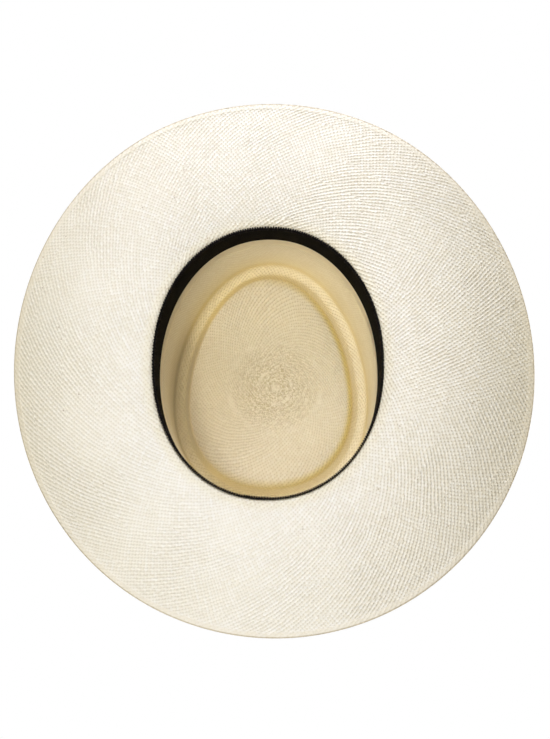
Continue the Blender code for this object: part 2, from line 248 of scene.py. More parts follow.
def straw_rings(angle):
    """Rings of the straw's underside and inside, from the brim's edge in to the middle of the top.

    With them go the brim rings' shares of the brim's width, and how much painted fold shade the straw
    gets at each point.
    """
    edge_share = 1.0 - (STRAW / 2 + HEM_RELIEF) / (BRIM_HALF_WIDTH - HEAD_HALF_X)
    hem = [mix(HEM_FROM, edge_share, step / HEM_RINGS) for step in range(HEM_RINGS + 1)]
    shares = [HEM_FROM * step / BRIM_RINGS for step in range(1, BRIM_RINGS)] + hem
    rings = [brim_ring(share, angle) for share in reversed(shares)]
    fold_shades = [(BREAK_CREASE * (1.0 - rise(share, 0.0, BREAK_CREASE_WIDTH)),) * 2
               for share in reversed(shares)]
    for step in range(BREAK_RINGS + 1):
        rings.append(break_ring(step / BREAK_RINGS * pi / 2, angle))
        fold_shades.append((BREAK_CREASE, BREAK_CREASE))
    for step in range(1, WALL_RINGS):
        share = step / WALL_RINGS
        rings.append(wall_point(angle, mix(WALL_LOW, WALL_HIGH, share), 0.0))
        crease = sum(rise(share, *step_up) for step_up in WALL_CREASES) / len(WALL_CREASES)
        fold_shades.append((crease, SHOULDER_CREASE * crease))
    for step in range(SHOULDER_RINGS):
        bend = step / (SHOULDER_RINGS - 1) * pi / 2
        z = CREST_Z - SHOULDER_DROP * (1.0 - sin(bend))
        rings.append(crest_ring(SHOULDER_WIDTH * cos(bend), CREST_EGG, z, angle))
        over = rise(bend, *SHOULDER_BENDS)
        fold_shades.append((mix(1.0, DARK_CREST_CREASE, over), mix(SHOULDER_CREASE, CREST_CREASE, over)))
    for step in range(GROOVE_RINGS):
        share = step / (GROOVE_RINGS - 1)
        z = CREST_Z - GROOVE_DEPTH * (1.0 - cos(pi * share)) / 2
        inset = CREST_FLAT + GROOVE_WIDTH * share
        rings.append(crest_ring(-inset, mix(CREST_EGG, TOP_EGG, share), z, angle))
        dark_fold = mix(DARK_CREST_CREASE, 1.0, rise(share, *DARK_FOLD_START))
        dark_fold *= 1.0 - rise(share, *DARK_FOLD_END)
        fold_shades.append((dark_fold, mix(CREST_CREASE, 1.0, rise(share, *FOLD))))
    middle = MIDDLE_RADIUS / (CREST_HALF_X - CREST_FLAT - GROOVE_WIDTH)
    for step in range(1, TOP_RINGS + 1):
        rings.append(top_ring(mix(1.0, middle, (step / TOP_RINGS) ** RING_CROWDING), angle))
        fold_shades.append((0.0, 0.0))
    dark, light = np.array(fold_shades).T
    light_side = 0.5 + 0.5 * np.sin(pi / 2 * np.cos(angle - LIGHT_SIDE))
    fold_shades = mix(dark[:, None], light[:, None], light_side)
    return np.array(rings), np.array(list(reversed(shares))), fold_shades


def grid_normals(grid):
    """Unit normals of a grid of points that closes round its second axis."""
    along = np.gradient(grid, axis=0)
    around = np.roll(grid, -1, axis=1) - np.roll(grid, 1, axis=1)
    normals = np.cross(along, around)
    return normals / np.linalg.norm(normals, axis=-1, keepdims=True)


# ---- Mesh helpers ----
CLOTH_CORNER = radians(50.0)  # a cloth's edge is sharp where its faces meet at more than this
ACROSS_THREADS = (0.31, 0.23, 0.92)  # any direction that no thread runs along
THREAD_END = 0.55  # a thread's end, as a share of its radius


def grid_faces(rows, columns, closed, first=0, flip=False):
    """Quads of a grid numbered row by row; closed joins its last column to its first."""
    row, column = np.meshgrid(np.arange(rows - 1), np.arange(columns if closed else columns - 1),
                              indexing="ij")
    after = (column + 1) % columns
    corners = [row * columns + column, row * columns + after,
               (row + 1) * columns + after, (row + 1) * columns + column]
    faces = first + np.stack([corner.ravel() for corner in corners], axis=1)
    return faces[:, ::-1] if flip else faces


def new_object(name, data):
    made = bpy.data.objects.new(name, data)
    bpy.context.scene.collection.objects.link(made)
    return made


def make_piece(name, points, faces, material, uv=None, shades=()):
    """A smooth-shaded mesh object; uv has one pair for each face corner, shades one value a point."""
    data = bpy.data.meshes.new(name)
    data.from_pydata(points.tolist(), [], [list(map(int, face)) for face in faces])
    if uv is not None:
        layer = data.uv_layers.new(name="weave")
        layer.data.foreach_set("uv", np.asarray(uv, np.float32).ravel())
    for shade, values in shades:
        attribute = data.attributes.new(shade, "FLOAT", "POINT")
        attribute.data.foreach_set("value", np.asarray(values, np.float32))
    data.materials.append(material)
    data.shade_smooth()
    data.validate()
    return new_object(name, data)


def stand_for(piece, node):
    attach(piece, "root")
    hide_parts(node)


def closed_piece(name, points, faces, uv, material):
    """As make_piece, with every face turned to point out of its closed body."""
    piece = make_piece(name, points, faces, material, uv)
    mesh = bmesh.new()
    mesh.from_mesh(piece.data)
    bmesh.ops.recalc_face_normals(mesh, faces=mesh.faces)
    mesh.to_mesh(piece.data)
    mesh.free()
    return piece


def cloth(name, front, back, along, across, material, closed=False):
    """A thin closed solid between two grids of points; along and across are places on the flat cloth."""
    rows, columns = front.shape[:2]
    count = rows * columns
    points = np.concatenate([front.reshape(-1, 3), back.reshape(-1, 3)])
    number = np.arange(count).reshape(rows, columns)
    borders = [number[:, 0], number[:, -1]]
    if closed:
        borders = [np.append(border, border[0]) for border in borders]
        number = np.concatenate([number, number[:1]])
    else:
        borders += [number[0], number[-1]]
    quads = np.stack([number[:-1, :-1], number[:-1, 1:], number[1:, 1:], number[1:, :-1]], axis=-1)
    quads = quads.reshape(-1, 4)
    faces = [quads, quads[:, ::-1] + count]
    for border in borders:
        corners = [border[:-1], border[1:], border[1:] + count, border[:-1] + count]
        faces.append(np.stack(corners, axis=-1))
    faces = np.concatenate(faces)
    places = np.stack(np.broadcast_arrays(along, across), axis=-1).reshape(-1, 2)
    piece = closed_piece(name, points, faces, places[faces % count], material)
    piece.data.set_sharp_from_angle(angle=CLOTH_CORNER)
    return piece


def tubes(name, paths, radius, sides, material):
    """Round threads along paths, each a separate closed body with tapered ends."""
    points = []
    faces = []
    uv = []
    spin = np.arange(sides) * 2 * pi / sides
    for path in paths:
        path = np.asarray(path)
        ahead = np.gradient(path, axis=0)
        ahead /= np.linalg.norm(ahead, axis=1, keepdims=True)
        side = np.cross(ahead, ACROSS_THREADS)
        side /= np.linalg.norm(side, axis=1, keepdims=True)
        over = np.cross(ahead, side)
        taper = np.ones(len(path))
        taper[[0, -1]] = THREAD_END
        first = len(points)
        for centre, a, b, size in zip(path, side, over, radius * taper):
            points += list(centre + size * (np.cos(spin)[:, None] * a + np.sin(spin)[:, None] * b))
        body = grid_faces(len(path), sides, True, first=first).tolist()
        body += [list(range(first + sides - 1, first - 1, -1)),
                 list(range(len(points) - sides, len(points)))]
        faces += body
        for corner in np.concatenate([np.array(face) for face in body]) - first:
            uv.append((corner // sides * radius, corner % sides / sides))
    return closed_piece(name, np.array(points), faces, uv, material)


# ---- Straw ----
def strand_counts(radii):
    """For each round of the weave, how many strands of each family go round: always even."""
    counts = []
    start = radii[-1]
    zone = []
    for radius in radii[::-1]:
        if radius > start * ADD_STRANDS_AT:
            counts += [np.sqrt(start * zone[-1])] * len(zone)
            zone = []
            start = radius
        zone.append(radius)
    counts += [np.sqrt(start * zone[-1])] * len(zone)
    middle = np.array(counts)[::-1]
    widening = smooth((middle - TOP_STRAND_WITHIN) / (STRAND_FULL_FROM - TOP_STRAND_WITHIN))
    strand = mix(TOP_STRAND, STRAND, widening)
    families = []
    for lean in (STEEP_LEAN, SHALLOW_LEAN):
        families.append(2 * np.round(pi * middle * cos(lean) / strand))
    return families


def weave_corners(grid):
    """Weave coordinates for the corners of each face of the grid: one unit for each strand."""
    closed = np.concatenate([grid, grid[:, :1]], axis=1)
    steps = np.linalg.norm(np.diff(closed, axis=1), axis=-1)
    length = steps.sum(axis=1)
    turn = np.concatenate([np.zeros((len(grid), 1)), np.cumsum(steps, axis=1)], axis=1) / length[:, None]
    radius = length / (2 * pi)
    spacing = np.linalg.norm(np.diff(grid, axis=0), axis=-1).mean(axis=1)
    middle_radius = (radius[1:] + radius[:-1]) / 2
    climb = np.concatenate([np.cumsum((spacing / middle_radius)[::-1])[::-1], [0.0]])
    coordinates = []
    for count, lean in zip(strand_counts(middle_radius), (STEEP_LEAN, SHALLOW_LEAN)):
        phase = turn - tan(lean) * climb[:, None] / (2 * pi)
        corners = (phase[:-1, :-1], phase[:-1, 1:], phase[1:, 1:], phase[1:, :-1])
        coordinates.append(np.stack([corner * count[:, None] for corner in corners], axis=-1))
    return np.stack(coordinates, axis=-1).reshape(-1, 4, 2)


def make_straw(material):
    angle = np.arange(STRAW_SEGMENTS) * 2 * pi / STRAW_SEGMENTS
    inner, shares, fold_shades = straw_rings(angle)
    outward = grid_normals(inner)
    if outward[0, 0, 2] < 0.0:
        outward = -outward
    from_middle = np.hypot(inner[..., 0] - ROSETTE[0], inner[..., 1] - ROSETTE[1])
    on_top = inner[..., 2] > CREST_Z - GROOVE_DEPTH - ON_TOP_WITHIN
    relief = np.zeros(inner.shape[:2])
    for radius, width, height in ROSETTE_RINGS:
        relief += on_top * height * np.exp(-(((from_middle - radius) / width) ** 2))
    hem = np.zeros(len(inner))
    hem[:len(shares)] = smooth((shares - HEM_FROM) / HEM_STEP)
    thickness = STRAW + HEM_RELIEF * hem[:, None]
    outer = inner + outward * thickness[..., None]
    inner = inner - outward * (relief + HEM_RELIEF * hem[:, None])[..., None]
    rows, columns = inner.shape[:2]
    half = (outer[0] - inner[0]) / 2
    centre = inner[0] + half
    away = inner[0] - inner[2]
    away /= np.linalg.norm(away, axis=-1, keepdims=True)
    radius = np.linalg.norm(half, axis=-1, keepdims=True)
    edge = []
    for step in range(1, EDGE_ARC + 1):
        bend = pi * step / (EDGE_ARC + 1)
        edge.append(centre - half * cos(bend) + away * radius * sin(bend))
    edge = np.array(edge)
    count = rows * columns
    points = np.concatenate([inner.reshape(-1, 3), outer.reshape(-1, 3), edge.reshape(-1, 3),
                             [inner[-1].mean(axis=0), outer[-1].mean(axis=0)]])
    inner_faces = grid_faces(rows, columns, True)
    outer_faces = grid_faces(rows, columns, True, first=count, flip=True)
    first_ring = np.arange(columns)
    rim = 2 * count + np.arange(EDGE_ARC * columns)
    edge_points = np.concatenate([first_ring, rim, count + first_ring])
    edge_faces = edge_points[grid_faces(EDGE_ARC + 2, columns, True, flip=True)]
    coordinates = weave_corners(inner)
    edge_uv = np.tile(coordinates[:columns], (EDGE_ARC + 1, 1, 1))
    last = (rows - 1) * columns
    fans = []
    fan_uv = []
    for start, middle, flip in ((last, len(points) - 2, False), (count + last, len(points) - 1, True)):
        for column in range(columns):
            face = [start + column, start + (column + 1) % columns, middle]
            last_quad = coordinates[column - columns]
            corners = [last_quad[3], last_quad[2], last_quad[2]]
            fans.append(face[::-1] if flip else face)
            fan_uv += corners[::-1] if flip else corners
    uv = np.concatenate([coordinates.reshape(-1, 2), coordinates[:, ::-1].reshape(-1, 2),
                         edge_uv.reshape(-1, 2), np.array(fan_uv)])
    faces = inner_faces.tolist() + outer_faces.tolist() + edge_faces.tolist() + fans
    within = smooth((inner[..., 2] - BREAK_Z) / (2 * BREAK_RADIUS))
    within[:len(shares)] = 0.0
    near_edge = hem[:, None].copy()
    near_edge[0] = EDGE_SHADE
    side_shade = np.zeros((rows, columns))
    side_shade[:len(shares)] = shares[:, None] ** SIDE_SHADE_POWER * np.cos(angle) ** 2
    shades = []
    for name, on_inner, on_outer, on_rim, at_middle in (
            ("inside", within, 0.0, 0.0, (1.0, 0.0)),
            ("edge", near_edge, near_edge, EDGE_SHADE, (0.0, 0.0)),
            ("crease", fold_shades, fold_shades, 0.0, (0.0, 0.0)),
            ("outer", 0.0, 1.0, 0.5, (0.0, 1.0)),
            ("side", side_shade, SIDE_SHADE_ABOVE * side_shade, side_shade[0], (0.0, 0.0))):
        values = [np.broadcast_to(part, (height, columns)).ravel()
                  for part, height in ((on_inner, rows), (on_outer, rows), (on_rim, EDGE_ARC))]
        shades.append((name, np.concatenate(values + [at_middle])))
    piece = make_piece("woven_straw", points, faces, material, uv, shades)
    stand_for(piece, "straw_body")


# ---- Bands ----
BAND_COLUMNS = 13
LAP_COLUMNS = 14
CLOTH = 0.00035  # thickness of the sweatband's cloth
LAP_GAP = 0.00008
SELVEDGE = 0.0009  # width of the thicker woven edge of a ribbon
SELVEDGE_RELIEF = 0.00010
TOP_RIPPLE = 0.00012  # how far the sweatband's upper edge stands off the straw, here and there
RIPPLE_LENGTHS = (0.021, 0.034)
RIPPLE_SHIFT = 1.0


def selvedge(distance):
    """Extra thickness at a distance from the edge of a ribbon."""
    return SELVEDGE_RELIEF * smooth(1.0 - distance / SELVEDGE)


def band_grid(z_low, height, near, thickness, seam, lap_step):
    """Front and back of a band that laps over its own start, and places on the flat ribbon."""
    radius = (HEAD_HALF_X + HEAD_HALF_Y) / 2
    lap = (LAP + LAP_RAMP) / radius
    turn = np.concatenate([np.linspace(0.0, 2 * pi - LAP_RAMP / radius, STRAW_SEGMENTS),
                           2 * pi + np.linspace(-LAP_RAMP / radius, lap, LAP_COLUMNS)[1:]])
    climb = smooth((turn - 2 * pi) * radius / LAP_RAMP + 1.0)[:, None]
    across = np.linspace(0.0, height, BAND_COLUMNS)[None, :]
    edge = selvedge(np.minimum(across, height - across))
    angle = (seam + turn)[:, None]
    low = near + lap_step * climb
    side = np.sign(lap_step)
    faces = [low + 0.0 * across, low + thickness + 0.0 * across]
    free = 0 if side < 0 else 1
    faces[free] = faces[free] + side * edge
    front = wall_point(angle, z_low + across, faces[free])
    back = wall_point(angle, z_low + across, faces[1 - free])
    return front, back, turn[:, None] * radius, across


def make_sweatband(material):
    front, back, along, across = band_grid(BREAK_Z + SWEATBAND_RISE, SWEATBAND_HEIGHT,
                                           -LAP_GAP - CLOTH, CLOTH, BACK, -CLOTH - LAP_GAP)
    middle = np.array((HEAD_X, HEAD_Y, 0.0))
    inward = middle - front
    inward[..., 2] = 0.0
    inward /= np.linalg.norm(inward, axis=-1, keepdims=True)
    first, second = RIPPLE_LENGTHS
    ripple = TOP_RIPPLE * (1.0 + np.sin(along / first) * np.sin(along / second + RIPPLE_SHIFT))
    lean = (ripple * smooth((across / SWEATBAND_HEIGHT - 0.5) * 2.0))[..., None] * inward
    piece = cloth("sweatband_cloth", front + lean, back + lean, along, across, material)
    finish_sheet(piece, "sweatband")


def make_hatband(material):
    """It casts no shadow, so that the straw behind it glows like the rest of the wall."""
    front, back, along, across = band_grid(BREAK_Z + HATBAND_RISE, HATBAND_HEIGHT,
                                           STRAW + GAP, RIBBON, LEFT, RIBBON + GAP)
    piece = cloth("hatband_ribbon", front, back, along, across, material)
    piece.visible_shadow = False
    finish_sheet(piece, "hatband")


def finish_sheet(piece, node):
    stand_for(piece, node)


# ---- Bow ----
LOOP_PUFF = 0.0032  # how far the loops' front stands out between the knot and the fold
LOOP_PUFF_POWER = 0.8
LOOP_ROWS = (14, 9, 20)  # behind, in the bend and in front
LOOP_NEAR = 0.0004  # behind the knot, the ribbon's two ends stop this far from the middle
LOOP_PUFF_FROM = 0.12  # share of a loop's length where its front starts to stand out
LOOP_OPEN_FROM = 0.6  # share of a loop's length where it has its full height
PLEATS = 3
PLEAT_DEPTH = 0.0006
TAIL_ROWS = 26
TAIL_CURL = 0.0018
TAIL_CURL_FROM = 0.8 * BOW_HALF_LENGTH
TAIL_TWIST = 0.5
KNOT_ROWS = 61
KNOT_COLUMNS = 11
KNOT_HEIGHT_POWER = 0.30  # under 1 makes the knot's loop squarer than an ellipse
KNOT_DEPTH_POWER = 0.45
KNOT_FACE_POWER = 0.6
KNOT_CREASES = 3.0
KNOT_CREASE_DEPTH = 0.00022
KNOT_CREASE_FADE = 2.4  # the larger, the less the creases fade up and down
KNOT_WAIST = 0.14
KNOT_FRONT_SHARPNESS = 3.0


def side_angle(distance):
    """Angle of the point at a distance towards the back along the crown's left side."""
    along = np.abs(distance) / HEAD_HALF_Y
    return np.copysign(np.arcsin(along ** (SQUARENESS / 2)), distance)


def ribbon_grids(distance, z, outset, lean):
    """Both faces of a ribbon by the crown's side; lean turns its thickness along the side."""
    sides = []
    for side in (1.0, -1.0):
        along = distance[:, None] + side * lean[0][:, None] * RIBBON / 2
        out = outset + side * lean[1][:, None] * RIBBON / 2
        sides.append(wall_point(side_angle(along), z, out))
    return sides


def make_bow_loops(material):
    """One ribbon folded flat: from behind the knot out, round and back on both sides."""
    near = LOOP_OUTSET + RIBBON / 2
    straight = BOW_HALF_LENGTH - BOW_TURN
    behind = np.linspace(LOOP_NEAR, straight, LOOP_ROWS[0])
    bend = np.linspace(0.0, pi, LOOP_ROWS[1])[1:-1]
    before = np.linspace(straight, LOOP_PUFF_FROM * straight, LOOP_ROWS[2])
    arch = np.sin(pi * np.clip((before / straight - LOOP_PUFF_FROM) / (1.0 - LOOP_PUFF_FROM), 0.0, 1.0))
    puff = LOOP_PUFF * np.maximum(arch, 0.0) ** LOOP_PUFF_POWER
    distance = np.concatenate([behind, straight + BOW_TURN * np.sin(bend), before])
    outset = np.concatenate([near + 0.0 * behind, near + BOW_TURN * (1.0 - np.cos(bend)),
                             near + 2 * BOW_TURN + puff])
    lean_along = np.concatenate([0.0 * behind, np.sin(bend), 0.0 * before])
    lean_out = np.concatenate([-1.0 + 0.0 * behind, -np.cos(bend), 1.0 + 0.0 * before])
    distance = np.concatenate([distance, -distance[::-1]])
    outset = np.concatenate([outset, outset[::-1]])
    lean = (np.concatenate([lean_along, -lean_along[::-1]]), np.concatenate([lean_out, lean_out[::-1]]))
    open_share = smooth(np.abs(distance) / (LOOP_OPEN_FROM * straight))[:, None]
    across = np.linspace(-0.5, 0.5, BAND_COLUMNS)[None, :]
    height = mix(BOW_WAIST, BOW_HEIGHT, open_share)
    front_side = (outset > near + BOW_TURN)[:, None]
    pleat = PLEAT_DEPTH * np.cos(2 * pi * PLEATS * across) * (1.0 - open_share) * front_side
    grids = ribbon_grids(distance, BOW_Z + across * height, outset[:, None] + pleat, lean)
    steps = np.abs(np.diff(distance)) + np.abs(np.diff(outset))
    along = np.concatenate([[0.0], np.cumsum(steps)])[:, None]
    piece = cloth("bow_loop_ribbon", *grids, along, across * BOW_HEIGHT, material)
    finish_sheet(piece, "bow_loops")


def make_bow_tail(material):
    """The tail runs back from the knot and ends in a swallowtail."""
    across = np.linspace(-0.5, 0.5, BAND_COLUMNS)[None, :]
    end = TAIL_LENGTH - TAIL_NOTCH * (1.0 - np.abs(2.0 * across))
    share = np.linspace(0.0, 1.0, TAIL_ROWS)[:, None]
    distance = mix(TAIL_START, end, share)
    free = np.maximum(0.0, distance - TAIL_CURL_FROM) / (TAIL_LENGTH - TAIL_CURL_FROM)
    outset = TAIL_OUTSET + RIBBON / 2 + TAIL_CURL * free**2 * (1.0 + TAIL_TWIST * across)
    z = BOW_Z + across * TAIL_HEIGHT + 0.0 * distance
    angle = side_angle(distance)
    grids = [wall_point(angle, z, outset + side * RIBBON / 2) for side in (1.0, -1.0)]
    piece = cloth("bow_tail_ribbon", *grids, distance, across * TAIL_HEIGHT, material)
    finish_sheet(piece, "bow_tail")


def make_bow_knot(material):
    """A band round the middle of the bow, in front of it and behind it."""
    back = KNOT_OUTSET + RIBBON / 2
    front = LOOP_OUTSET + 2 * BOW_TURN + 1.5 * RIBBON + GAP
    reach = TAIL_HEIGHT / 2 + GAP + RIBBON / 2
    turn = np.linspace(0.0, 2 * pi, KNOT_ROWS)[:-1][:, None]
    across = np.linspace(-0.5, 0.5, KNOT_COLUMNS)[None, :]
    z = reach * signed_power(np.cos(turn), KNOT_HEIGHT_POWER)
    outset = mix(back, front, 0.5) + (front - back) / 2 * signed_power(np.sin(turn), KNOT_DEPTH_POWER)
    in_front = smooth(np.sin(turn) * KNOT_FRONT_SHARPNESS)
    crease = KNOT_CREASE_DEPTH * np.cos(2 * pi * across * KNOT_CREASES) * in_front
    crease = crease * np.cos(pi * z / reach / KNOT_CREASE_FADE)
    waist = 1.0 - KNOT_WAIST * in_front * np.cos(pi * z / reach / 2) ** 2
    distance = across * KNOT_WIDTH * waist
    grids = []
    for side in (1.0, -1.0):
        stretch = 1.0 + side * RIBBON / 2 / reach
        out = outset + side * RIBBON / 2 * signed_power(np.sin(turn), KNOT_FACE_POWER) + crease
        grids.append(wall_point(side_angle(distance), BOW_Z + z * stretch + 0.0 * distance, out))
    loop = np.hypot(np.diff(z[:, 0], append=z[0, 0]), np.diff(outset[:, 0], append=outset[0, 0]))
    along = np.concatenate([[0.0], np.cumsum(loop)[:-1]])[:, None]
    piece = cloth("bow_knot_ribbon", *grids, along, across * KNOT_WIDTH, material, closed=True)
    finish_sheet(piece, "bow_knot")


# ---- Thread ----
STITCH_PITCH = 0.0019
STITCH_RADIUS = 0.00072
STITCH_SLANT = 0.35  # of the pitch, from the band down to the straw
STITCH_VARIETY = 0.3  # how much the stitches' lengths differ
STITCH_TURN = 2.4  # any angle that makes each stitch's length differ from the next one's
STITCH_TOP = 0.0021  # above the sweatband's lower edge, for a stitch of mean length
STITCH_FACE_TOP = 0.0014
STITCH_FACE_LOW = 0.0002
STITCH_UNDER = 0.0006
STITCH_PROUD = 0.7  # share of a stitch's radius by which its middle clears the straw
STITCH_INWARD = 0.8  # and the cloth
# Places of a stitch round the break: degrees up from the brim, less by the second number times the
# stitch's length, and by the third at the hat's front.
STITCH_BENDS = ((68.0, 0.0, 6.0), (62.0, 0.0, 12.0), (63.0, 6.0, 11.0))
THREAD_SIDES = 6
SEAM_LOW = 0.0056
SEAM_MARGIN = 0.0071
SEAM_WIDTH = 0.0026
SEAM_CORNERS = 15
TACK_POINTS = 7
TACK_SIDES = 8
TACK_SUNK = 0.6
BOW_TACK_SPREAD = 0.4


def make_overcast(material):
    """Stitches over the sweatband's lower edge, from its face into the straw at the break."""
    around = pi * (HEAD_HALF_X + HEAD_HALF_Y)
    count = round(around / STITCH_PITCH)
    low = BREAK_Z + SWEATBAND_RISE
    step = 2 * pi / count
    reach = BREAK_RADIUS + STITCH_RADIUS * STITCH_PROUD
    paths = []
    for number in range(count):
        start = BACK + number * step
        travel = number * STITCH_PITCH
        layer = CLOTH + LAP_GAP if travel < LAP + LAP_RAMP else 0.0
        face = -LAP_GAP - CLOTH - layer - STITCH_RADIUS * STITCH_INWARD
        length = 1.0 + STITCH_VARIETY * sin(number * STITCH_TURN)
        forward = max(0.0, -sin(start))
        stations = [(face + STITCH_RADIUS, low + STITCH_TOP * length),
                    (face, low + STITCH_FACE_TOP * length),
                    (face, low + STITCH_FACE_LOW), (face + STITCH_UNDER, low - STITCH_RADIUS)]
        for degrees_up, by_length, by_front in STITCH_BENDS:
            bend = radians(degrees_up - by_length * length - by_front * forward)
            outset = BREAK_RADIUS - reach * sin(bend)
            stations.append((outset, BREAK_Z + BREAK_RADIUS - reach * cos(bend)))
        path = []
        for place, (outset, z) in enumerate(stations):
            angle = start + step * STITCH_SLANT * (place / (len(stations) - 1) - 0.5)
            flare = min(z, WALL_LOW) if outset < 0.0 else WALL_LOW
            point = wall_point(angle, np.array(flare), outset)
            path.append((point[0], point[1], z))
        paths.append(path)
    piece = tubes("sweatband_overcast", paths, STITCH_RADIUS, THREAD_SIDES, material)
    stand_for(piece, "sweatband_stitches")


def make_lap_seam(material):
    """A zigzag seam up the sweatband's lap at the back."""
    outset = -2 * (CLOTH + LAP_GAP) - THREAD / 2 - TOP_RIPPLE
    middle = BACK + (LAP_RAMP + LAP * 0.5) / HEAD_HALF_X
    low = BREAK_Z + SWEATBAND_RISE + SEAM_LOW
    height = SWEATBAND_HEIGHT - SEAM_MARGIN
    corners = []
    for corner in range(SEAM_CORNERS):
        share = corner / (SEAM_CORNERS - 1)
        angle = middle + (0.5 - corner % 2) * SEAM_WIDTH / HEAD_HALF_X
        lift = TOP_RIPPLE * smooth(share * 2.0 - 1.0)
        corners.append(wall_point(angle, np.array(low + height * share), outset - lift))
    piece = tubes("sweatband_lap_seam", [corners], THREAD / 2, THREAD_SIDES, material)
    stand_for(piece, "sweatband_lap_stitches")


def make_tack(name, angle, z, outset, upright, material):
    """One short stitch that rises out of a ribbon and goes back in."""
    path = []
    for share in np.linspace(-0.5, 0.5, TACK_POINTS):
        lift = THREAD * (cos(pi * share) - TACK_SUNK)
        if upright:
            point = wall_point(angle, np.array(z + share * TACK_LENGTH), outset + lift)
        else:
            point = wall_point(angle + share * TACK_LENGTH / HEAD_HALF_X, np.array(z), outset + lift)
        path.append(point)
    piece = tubes(name + "_thread", [path], THREAD / 2, TACK_SIDES, material)
    stand_for(piece, name)


def make_tacks(material):
    ribbon_face = STRAW + GAP + RIBBON
    top = BREAK_Z + HATBAND_RISE + HATBAND_HEIGHT - TACK_FROM_EDGE
    for side, angle in (("front", -BACK), ("back", BACK), ("right", pi)):
        make_tack("hatband_tack_" + side, angle, top, ribbon_face, False, material)
    knot_face = LOOP_OUTSET + 2 * BOW_TURN + 2 * RIBBON + GAP
    for side, place in (("upper", 1), ("lower", -1)):
        z = BOW_Z + place * BOW_TACK_SPREAD * BOW_WAIST
        make_tack("bow_tack_" + side, LEFT, z, knot_face, True, material)


# ---- Materials ----
class Graph:
    """Builds the nodes of a material, or of the world, in short calls."""

    def __init__(self, owner):
        self.owner = owner
        owner.use_nodes = True
        self.tree = owner.node_tree
        self.tree.nodes.clear()

    def add(self, kind, inputs, output=0, **settings):
        """A new node's output, by number or name."""
        node = self.tree.nodes.new("ShaderNode" + kind)
        for key, value in settings.items():
            setattr(node, key, value)
        for key, value in inputs.items():
            if isinstance(value, bpy.types.NodeSocket):
                self.tree.links.new(value, node.inputs[key])
            else:
                node.inputs[key].default_value = value
        return node.outputs[output] if node.outputs else None

    def math(self, operation, first, second=0.0, third=0.0):
        return self.add("Math", {0: first, 1: second, 2: third}, operation=operation)

    def plus(self, first, second):
        return self.math("ADD", first, second)

    def minus(self, first, second):
        return self.math("SUBTRACT", first, second)

    def times(self, first, second):
        return self.math("MULTIPLY", first, second)

    def size(self, value):
        return self.math("ABSOLUTE", value)

    def wave(self, value, pace=pi):
        return self.math("SINE", self.times(value, pace))

    def blend(self, share, first, second, way="MIX"):
        return self.add("Mix", {0: share, 6: first, 7: second}, 2, data_type="RGBA", blend_type=way)

    def ramp(self, value, low, high, start=0.0, end=1.0):
        inputs = {0: value, 1: low, 2: high, 3: start, 4: end}
        return self.add("MapRange", inputs, interpolation_type="SMOOTHSTEP")

    def noise(self, scale, detail, roughness=0.5, output=0):
        """Noise over the object's own space: output 0 is one number and output 1 is three."""
        inputs = {"Vector": self.place(), "Scale": scale, "Detail": detail, "Roughness": roughness}
        return self.add("TexNoise", inputs, output)

    def shifted(self, value, noise, reach):
        """The value, moved by up to half the reach either way."""
        return self.plus(value, self.times(self.minus(noise, 0.5), reach))

    def axis(self, three, number):
        return self.add("SeparateXYZ", {0: three}, number)

    def weave_map(self):
        uv = self.add("UVMap", {}, uv_map="weave")
        return self.axis(uv, 0), self.axis(uv, 1)

    def place(self):
        return self.add("TexCoord", {}, "Object")

    def distance_to(self, spot):
        return self.add("VectorMath", {0: self.place(), 1: spot}, "Value", operation="DISTANCE")

    def patches(self, noise, ramp):
        return self.ramp(self.noise(*noise), *ramp)

    def near(self, spot, ramp):
        return self.ramp(self.distance_to(spot), *ramp)

    def stored(self, name):
        return self.add("Attribute", {}, "Fac", attribute_name=name)

    def bump(self, strength, depth, height):
        return self.add("Bump", {"Strength": strength, "Distance": depth, "Height": height})

    def coat(self, tone, roughness, gloss, bump):
        inputs = {"Base Color": tone, "Roughness": roughness, "Specular IOR Level": gloss,
                  "Normal": bump}
        return self.add("BsdfPrincipled", inputs)

    def finish(self, shader):
        self.add("OutputMaterial", {0: shader})
        return self.owner


def new_material(name):
    return Graph(bpy.data.materials.new(name))


def colour(red, green, blue):
    return (red, green, blue, 1.0)


# ---- The straw's look ----
# A noise is its scale, detail and roughness. A ramp is the two values between which it goes from
# its first result, 0 if it isn't given, to its second, 1 if it isn't given. A noise or a place goes
# with the ramp that is laid over the noise, or over the distance from the place.
WHITE = colour(1.0, 1.0, 1.0)
STRAND_ROUNDNESS = 0.75
STRAND_WAVINESS = 0.42
STRAND_MELD = 0.15  # rounds the corner where one strand goes under another
OVER_SHARPNESS = 8.0
WANDER_NOISE = (60.0, 2.0)  # strands don't run quite straight, most of all by the middle of the top
WANDER_REACH = (0.0, 1.0, 0.7, 2.0)
STEEP_LEADS = ((20.0, 3.0, 0.6), (0.38, 0.62, 0.03, 0.34))  # in patches the steep family stands out
SHALLOW_LEADS = ((0.125, -0.035, 0.010), (0.030, 0.075, 0.42, 0.0))  # and near here the shallow one
# How open the weave is: how much painted shade its gaps get and how deep its relief is.
GAP_SHADE_SIDE = (0.8, -0.6, 0.0)  # toward here the gaps get more painted shade and deeper relief, where the light picks out the weave most
GAP_SHADE_BY_SIDE = (-0.16, 0.17, 0.50, 1.25)
OPEN_INSIDE = 1.05
OPEN_ABOVE = 0.90
OPEN_BY_ROSETTE = 1.15
OPEN_LOW_WALL = (WALL_HIGH - 0.02, WALL_HIGH, 2.2, 0.0)
OPEN_NOISE = (18.0, 2.0)
OPEN_REACH = 0.5  # by how much the noise moves it
OPEN_HEM = (0.0, 1.0, 1.0, 0.40)
GAP_HEIGHT = (0.0, 1.08, 1.0, 0.0)
# Painted shade in the gaps between the strands.
GAP_SHADE_COLOUR = colour(0.56, 0.475, 0.325)
